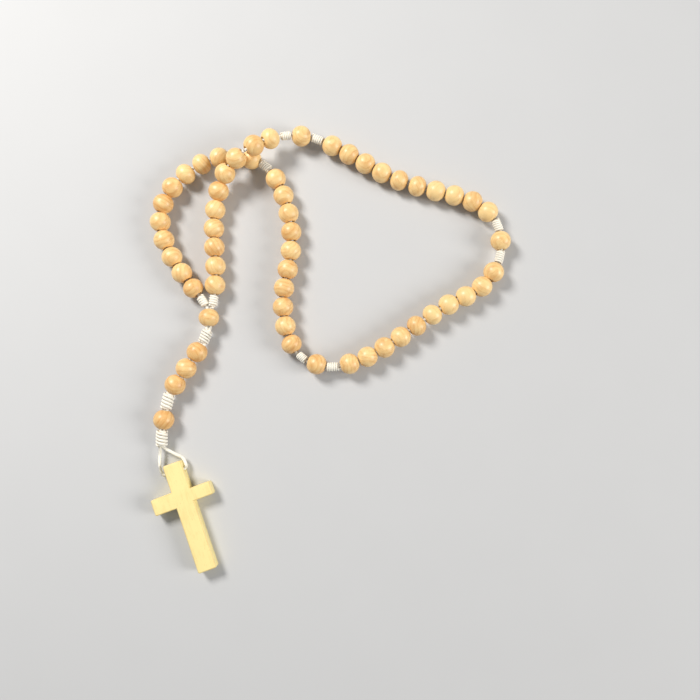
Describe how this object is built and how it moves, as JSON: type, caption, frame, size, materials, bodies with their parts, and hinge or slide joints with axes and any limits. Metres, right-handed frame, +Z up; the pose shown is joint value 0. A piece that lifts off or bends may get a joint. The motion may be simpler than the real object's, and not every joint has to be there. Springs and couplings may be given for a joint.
{
  "type": "rosary",
  "caption": "Loop of round wooden prayer beads on a knotted cord, with a short pendant of beads and a plain wooden cross, laid flat.",
  "frame": {"origin": "bottom centre of the box around the beads and the cross, on the table", "axes": "+X from the left arc of the loop to the right bight, +Y from the cross up to the loop, +Z up from the table"},
  "size_m": [0.1404, 0.1716, 0.0151],
  "materials": {
    "bead_wood": "clear satin varnish over light turned wood",
    "cross_wood": "pale sanded wood, thin clear coat",
    "cord": "off-white twisted cord, matt"
  },
  "bodies": {
    "loop_base": {"loop_cord": "cord"},
    "left_arc": {"decade_1_bead_05": "bead_wood"},
    "bight_near": {"our_father_bead_2": "bead_wood"},
    "bight_far": {"our_father_bead_3": "bead_wood"},
    "pendant": {"pendant_cord": "cord"},
    "wooden_cross": {"wooden_cross": "cross_wood"},
    "decade_1_bead_01": {"decade_1_bead_01": "bead_wood"},
    "decade_1_bead_02": {"decade_1_bead_02": "bead_wood"},
    "decade_1_bead_03": {"decade_1_bead_03": "bead_wood"},
    "decade_1_bead_04": {"decade_1_bead_04": "bead_wood"},
    "decade_1_bead_06": {"decade_1_bead_06": "bead_wood"},
    "decade_1_bead_07": {"decade_1_bead_07": "bead_wood"},
    "decade_1_bead_08": {"decade_1_bead_08": "bead_wood"},
    "decade_1_bead_09": {"decade_1_bead_09": "bead_wood"},
    "decade_1_bead_10": {"decade_1_bead_10": "bead_wood"},
    "decade_2_bead_01": {"decade_2_bead_01": "bead_wood"},
    "decade_2_bead_02": {"decade_2_bead_02": "bead_wood"},
    "decade_2_bead_03": {"decade_2_bead_03": "bead_wood"},
    "decade_2_bead_04": {"decade_2_bead_04": "bead_wood"},
    "decade_2_bead_05": {"decade_2_bead_05": "bead_wood"},
    "decade_2_bead_06": {"decade_2_bead_06": "bead_wood"},
    "decade_2_bead_07": {"decade_2_bead_07": "bead_wood"},
    "decade_2_bead_08": {"decade_2_bead_08": "bead_wood"},
    "decade_2_bead_09": {"decade_2_bead_09": "bead_wood"},
    "decade_2_bead_10": {"decade_2_bead_10": "bead_wood"},
    "decade_3_bead_01": {"decade_3_bead_01": "bead_wood"},
    "decade_3_bead_02": {"decade_3_bead_02": "bead_wood"},
    "decade_3_bead_03": {"decade_3_bead_03": "bead_wood"},
    "decade_3_bead_04": {"decade_3_bead_04": "bead_wood"},
    "decade_3_bead_05": {"decade_3_bead_05": "bead_wood"},
    "decade_3_bead_06": {"decade_3_bead_06": "bead_wood"},
    "decade_3_bead_07": {"decade_3_bead_07": "bead_wood"},
    "decade_3_bead_08": {"decade_3_bead_08": "bead_wood"},
    "decade_3_bead_09": {"decade_3_bead_09": "bead_wood"},
    "decade_3_bead_10": {"decade_3_bead_10": "bead_wood"},
    "decade_4_bead_01": {"decade_4_bead_01": "bead_wood"},
    "decade_4_bead_02": {"decade_4_bead_02": "bead_wood"},
    "decade_4_bead_03": {"decade_4_bead_03": "bead_wood"},
    "decade_4_bead_04": {"decade_4_bead_04": "bead_wood"},
    "decade_4_bead_05": {"decade_4_bead_05": "bead_wood"},
    "decade_4_bead_06": {"decade_4_bead_06": "bead_wood"},
    "decade_4_bead_07": {"decade_4_bead_07": "bead_wood"},
    "decade_4_bead_08": {"decade_4_bead_08": "bead_wood"},
    "decade_4_bead_09": {"decade_4_bead_09": "bead_wood"},
    "decade_4_bead_10": {"decade_4_bead_10": "bead_wood"},
    "decade_5_bead_01": {"decade_5_bead_01": "bead_wood"},
    "decade_5_bead_02": {"decade_5_bead_02": "bead_wood"},
    "decade_5_bead_03": {"decade_5_bead_03": "bead_wood"},
    "decade_5_bead_04": {"decade_5_bead_04": "bead_wood"},
    "decade_5_bead_05": {"decade_5_bead_05": "bead_wood"},
    "decade_5_bead_06": {"decade_5_bead_06": "bead_wood"},
    "decade_5_bead_07": {"decade_5_bead_07": "bead_wood"},
    "decade_5_bead_08": {"decade_5_bead_08": "bead_wood"},
    "decade_5_bead_09": {"decade_5_bead_09": "bead_wood"},
    "decade_5_bead_10": {"decade_5_bead_10": "bead_wood"},
    "our_father_bead_1": {"our_father_bead_1": "bead_wood"},
    "our_father_bead_4": {"our_father_bead_4": "bead_wood"},
    "centre_bead": {"centre_bead": "bead_wood"},
    "pendant_hail_mary_beads": {"pendant_hail_mary_beads": "bead_wood"},
    "pendant_our_father_bead": {"pendant_our_father_bead": "bead_wood"}
  },
  "joints": [
    {"name": "arc_lift", "type": "hinge", "parent": "loop_base", "child": "left_arc", "pos_m": [-0.05217, 0.04389, 0.00402], "axis": [-0.0664, 0.9978, 0], "range_deg": [0, 25], "deforming": ["loop_cord"]},
    {"name": "cross_swing", "type": "hinge", "parent": "pendant", "child": "wooden_cross", "pos_m": [-0.05834, -0.04856, 0.00262], "axis": [-0.9397, -0.342, 0], "range_deg": [0, 140]},
    {"name": "loop_fold_near", "type": "hinge", "parent": "loop_base", "child": "bight_near", "pos_m": [-0.01658, 0.03859, 0.00561], "axis": [0.0853, -0.9956, -0.0375], "range_deg": [0, 60], "deforming": ["loop_cord"]},
    {"name": "loop_fold_far", "type": "hinge", "parent": "bight_near", "child": "bight_far", "pos_m": [0.03336, 0.03602, 0.00402], "axis": [0.1078, -0.9942, 0], "range_deg": [0, 30], "deforming": ["loop_cord"]},
    {"name": "pendant_sway", "type": "hinge", "parent": "loop_base", "child": "pendant", "pos_m": [-0.04657, 0.00632, 0.00402], "axis": [0, 0, 1], "range_deg": [-45, 45], "deforming": ["pendant_cord"]},
    {"name": "turn_decade_1_bead_01", "type": "hinge", "parent": "left_arc", "child": "decade_1_bead_01", "pos_m": [-0.05287, 0.02152, 0.00402], "axis": [-0.6371, 0.7708, 0], "continuous": true},
    {"name": "turn_decade_1_bead_02", "type": "hinge", "parent": "left_arc", "child": "decade_1_bead_02", "pos_m": [-0.05735, 0.02746, 0.00402], "axis": [-0.5679, 0.8231, 0], "continuous": true},
    {"name": "turn_decade_1_bead_03", "type": "hinge", "parent": "left_arc", "child": "decade_1_bead_03", "pos_m": [-0.06132, 0.03376, 0.00402], "axis": [-0.4977, 0.8673, 0], "continuous": true},
    {"name": "turn_decade_1_bead_04", "type": "hinge", "parent": "left_arc", "child": "decade_1_bead_04", "pos_m": [-0.06457, 0.04044, 0.00402], "axis": [-0.374, 0.9274, 0], "continuous": true},
    {"name": "turn_decade_1_bead_06", "type": "hinge", "parent": "left_arc", "child": "decade_1_bead_06", "pos_m": [-0.06521, 0.05485, 0.00402], "axis": [0.3299, 0.944, 0], "continuous": true},
    {"name": "turn_decade_1_bead_07", "type": "hinge", "parent": "left_arc", "child": "decade_1_bead_07", "pos_m": [-0.0618, 0.06138, 0.00402], "axis": [0.587, 0.8096, 0], "continuous": true},
    {"name": "turn_decade_1_bead_08", "type": "hinge", "parent": "left_arc", "child": "decade_1_bead_08", "pos_m": [-0.05673, 0.06676, 0.00402], "axis": [0.773, 0.6343, 0], "continuous": true},
    {"name": "turn_decade_1_bead_09", "type": "hinge", "parent": "loop_base", "child": "decade_1_bead_09", "pos_m": [-0.05052, 0.07079, 0.00402], "axis": [0.8943, 0.4475, 0], "continuous": true},
    {"name": "turn_decade_1_bead_10", "type": "hinge", "parent": "loop_base", "child": "decade_1_bead_10", "pos_m": [-0.04357, 0.07333, 0.00402], "axis": [0.9724, 0.2334, 0], "continuous": true},
    {"name": "turn_decade_2_bead_01", "type": "hinge", "parent": "loop_base", "child": "decade_2_bead_01", "pos_m": [-0.0214, 0.06488, 0.00402], "axis": [0.507, -0.862, 0], "continuous": true},
    {"name": "turn_decade_2_bead_02", "type": "hinge", "parent": "loop_base", "child": "decade_2_bead_02", "pos_m": [-0.01828, 0.05815, 0.00402], "axis": [0.331, -0.9436, 0], "continuous": true},
    {"name": "turn_decade_2_bead_03", "type": "hinge", "parent": "loop_base", "child": "decade_2_bead_03", "pos_m": [-0.01625, 0.051, 0.00402], "axis": [0.2153, -0.9765, 0], "continuous": true},
    {"name": "turn_decade_2_bead_04", "type": "hinge", "parent": "loop_base", "child": "decade_2_bead_04", "pos_m": [-0.01517, 0.04365, 0.00402], "axis": [0.0732, -0.9973, 0], "continuous": true},
    {"name": "turn_decade_2_bead_05", "type": "hinge", "parent": "loop_base", "child": "decade_2_bead_05", "pos_m": [-0.01527, 0.03623, 0.00402], "axis": [-0.0983, -0.9952, 0], "continuous": true},
    {"name": "turn_decade_2_bead_06", "type": "hinge", "parent": "loop_base", "child": "decade_2_bead_06", "pos_m": [-0.01642, 0.02888, 0.00402], "axis": [-0.2116, -0.9774, 0], "continuous": true},
    {"name": "turn_decade_2_bead_07", "type": "hinge", "parent": "loop_base", "child": "decade_2_bead_07", "pos_m": [-0.01778, 0.02156, 0.00402], "axis": [-0.1549, -0.9879, 0], "continuous": true},
    {"name": "turn_decade_2_bead_08", "type": "hinge", "parent": "loop_base", "child": "decade_2_bead_08", "pos_m": [-0.0181, 0.01416, 0.00402], "axis": [0.071, -0.9975, 0], "continuous": true},
    {"name": "turn_decade_2_bead_09", "type": "hinge", "parent": "loop_base", "child": "decade_2_bead_09", "pos_m": [-0.01714, 0.00679, 0.00402], "axis": [0.1866, -0.9824, 0], "continuous": true},
    {"name": "turn_decade_2_bead_10", "type": "hinge", "parent": "loop_base", "child": "decade_2_bead_10", "pos_m": [-0.01471, -0.00017, 0.00402], "axis": [0.4654, -0.8851, 0], "continuous": true},
    {"name": "turn_decade_3_bead_01", "type": "hinge", "parent": "bight_near", "child": "decade_3_bead_01", "pos_m": [0.00748, -0.00772, 0.00402], "axis": [0.9572, 0.2895, 0], "continuous": true},
    {"name": "turn_decade_3_bead_02", "type": "hinge", "parent": "bight_near", "child": "decade_3_bead_02", "pos_m": [0.01441, -0.00503, 0.00402], "axis": [0.9015, 0.4327, 0], "continuous": true},
    {"name": "turn_decade_3_bead_03", "type": "hinge", "parent": "bight_near", "child": "decade_3_bead_03", "pos_m": [0.02093, -0.00145, 0.00402], "axis": [0.8492, 0.5282, 0], "continuous": true},
    {"name": "turn_decade_3_bead_04", "type": "hinge", "parent": "bight_near", "child": "decade_3_bead_04", "pos_m": [0.02715, 0.00265, 0.00402], "axis": [0.8206, 0.5715, 0], "continuous": true},
    {"name": "turn_decade_3_bead_05", "type": "hinge", "parent": "bight_near", "child": "decade_3_bead_05", "pos_m": [0.03324, 0.00693, 0.00402], "axis": [0.8153, 0.5791, 0], "continuous": true},
    {"name": "turn_decade_3_bead_06", "type": "hinge", "parent": "bight_far", "child": "decade_3_bead_06", "pos_m": [0.03935, 0.0112, 0.00402], "axis": [0.824, 0.5666, 0], "continuous": true},
    {"name": "turn_decade_3_bead_07", "type": "hinge", "parent": "bight_far", "child": "decade_3_bead_07", "pos_m": [0.04567, 0.01512, 0.00402], "axis": [0.8745, 0.4851, 0], "continuous": true},
    {"name": "turn_decade_3_bead_08", "type": "hinge", "parent": "bight_far", "child": "decade_3_bead_08", "pos_m": [0.05237, 0.01837, 0.00402], "axis": [0.9219, 0.3875, 0], "continuous": true},
    {"name": "turn_decade_3_bead_09", "type": "hinge", "parent": "bight_far", "child": "decade_3_bead_09", "pos_m": [0.05868, 0.02217, 0.00402], "axis": [0.7734, 0.6339, 0], "continuous": true},
    {"name": "turn_decade_3_bead_10", "type": "hinge", "parent": "bight_far", "child": "decade_3_bead_10", "pos_m": [0.06327, 0.02784, 0.00402], "axis": [0.4591, 0.8884, 0], "continuous": true},
    {"name": "turn_decade_4_bead_01", "type": "hinge", "parent": "bight_far", "child": "decade_4_bead_01", "pos_m": [0.06147, 0.05164, 0.00402], "axis": [-0.6884, 0.7254, 0], "continuous": true},
    {"name": "turn_decade_4_bead_02", "type": "hinge", "parent": "bight_far", "child": "decade_4_bead_02", "pos_m": [0.05548, 0.0558, 0.00402], "axis": [-0.9205, 0.3908, 0], "continuous": true},
    {"name": "turn_decade_4_bead_03", "type": "hinge", "parent": "bight_far", "child": "decade_4_bead_03", "pos_m": [0.04844, 0.0582, 0.00402], "axis": [-0.9671, 0.2544, 0], "continuous": true},
    {"name": "turn_decade_4_bead_04", "type": "hinge", "parent": "bight_far", "child": "decade_4_bead_04", "pos_m": [0.04122, 0.06, 0.00402], "axis": [-0.9736, 0.2284, 0], "continuous": true},
    {"name": "turn_decade_4_bead_05", "type": "hinge", "parent": "bight_far", "child": "decade_4_bead_05", "pos_m": [0.03401, 0.0619, 0.00402], "axis": [-0.9596, 0.2813, 0], "continuous": true},
    {"name": "turn_decade_4_bead_06", "type": "hinge", "parent": "bight_near", "child": "decade_4_bead_06", "pos_m": [0.02695, 0.06424, 0.00402], "axis": [-0.9376, 0.3478, 0], "continuous": true},
    {"name": "turn_decade_4_bead_07", "type": "hinge", "parent": "bight_near", "child": "decade_4_bead_07", "pos_m": [0.02017, 0.06729, 0.00402], "axis": [-0.8826, 0.4701, -0.0019], "continuous": true},
    {"name": "turn_decade_4_bead_08", "type": "hinge", "parent": "bight_near", "child": "decade_4_bead_08", "pos_m": [0.01371, 0.071, 0.004], "axis": [-0.8508, 0.5255, -0.002], "continuous": true},
    {"name": "turn_decade_4_bead_09", "type": "hinge", "parent": "bight_near", "child": "decade_4_bead_09", "pos_m": [0.00728, 0.07476, 0.00401], "axis": [-0.8752, 0.4837, 0.0051], "continuous": true},
    {"name": "turn_decade_4_bead_10", "type": "hinge", "parent": "bight_near", "child": "decade_4_bead_10", "pos_m": [0.00068, 0.07821, 0.00402], "axis": [-0.8955, 0.4451, -0.0039], "continuous": true},
    {"name": "turn_decade_5_bead_01", "type": "hinge", "parent": "loop_base", "child": "decade_5_bead_01", "pos_m": [-0.02321, 0.07915, 0.00877], "axis": [-0.8121, -0.4003, 0.4246], "continuous": true},
    {"name": "turn_decade_5_bead_02", "type": "hinge", "parent": "loop_base", "child": "decade_5_bead_02", "pos_m": [-0.02918, 0.07554, 0.0112], "axis": [-0.7901, -0.5697, 0.2262], "continuous": true},
    {"name": "turn_decade_5_bead_03", "type": "hinge", "parent": "loop_base", "child": "decade_5_bead_03", "pos_m": [-0.03591, 0.07056, 0.01083], "axis": [-0.7443, -0.6004, -0.2924], "continuous": true},
    {"name": "turn_decade_5_bead_04", "type": "hinge", "parent": "loop_base", "child": "decade_5_bead_04", "pos_m": [-0.04057, 0.06566, 0.00794], "axis": [-0.5054, -0.714, -0.4846], "continuous": true},
    {"name": "turn_decade_5_bead_05", "type": "hinge", "parent": "loop_base", "child": "decade_5_bead_05", "pos_m": [-0.04347, 0.05957, 0.00512], "axis": [-0.2729, -0.9231, -0.271], "continuous": true},
    {"name": "turn_decade_5_bead_06", "type": "hinge", "parent": "loop_base", "child": "decade_5_bead_06", "pos_m": [-0.04487, 0.05242, 0.00407], "axis": [-0.1036, -0.9945, -0.0124], "continuous": true},
    {"name": "turn_decade_5_bead_07", "type": "hinge", "parent": "loop_base", "child": "decade_5_bead_07", "pos_m": [-0.04526, 0.04499, 0.00401], "axis": [-0.0006, -1, -0.0036], "continuous": true},
    {"name": "turn_decade_5_bead_08", "type": "hinge", "parent": "loop_base", "child": "decade_5_bead_08", "pos_m": [-0.04494, 0.03756, 0.004], "axis": [0.0856, -0.9963, 0.0012], "continuous": true},
    {"name": "turn_decade_5_bead_09", "type": "hinge", "parent": "loop_base", "child": "decade_5_bead_09", "pos_m": [-0.0444, 0.03013, 0.00401], "axis": [0.0612, -0.9981, 0.0024], "continuous": true},
    {"name": "turn_decade_5_bead_10", "type": "hinge", "parent": "loop_base", "child": "decade_5_bead_10", "pos_m": [-0.04443, 0.02269, 0.00402], "axis": [-0.0695, -0.9976, 0], "continuous": true},
    {"name": "turn_our_father_bead_1", "type": "hinge", "parent": "loop_base", "child": "our_father_bead_1", "pos_m": [-0.031, 0.07283, 0.00402], "axis": [0.9379, -0.347, 0], "continuous": true},
    {"name": "turn_our_father_bead_4", "type": "hinge", "parent": "bight_near", "child": "our_father_bead_4", "pos_m": [-0.01144, 0.08177, 0.00495], "axis": [-0.982, 0.021, 0.1878], "continuous": true},
    {"name": "turn_centre_bead", "type": "hinge", "parent": "loop_base", "child": "centre_bead", "pos_m": [-0.04657, 0.01005, 0.00402], "axis": [0, -1, 0], "continuous": true},
    {"name": "turn_pendant_hail_mary_beads", "type": "hinge", "parent": "pendant", "child": "pendant_hail_mary_beads", "pos_m": [-0.05493, -0.00947, 0.00402], "axis": [-0.544, -0.8391, 0], "continuous": true},
    {"name": "turn_pendant_our_father_bead", "type": "hinge", "parent": "pendant", "child": "pendant_our_father_bead", "pos_m": [-0.06298, -0.02903, 0.00402], "axis": [-0.1509, -0.9885, -0.0004], "continuous": true}
  ]
}
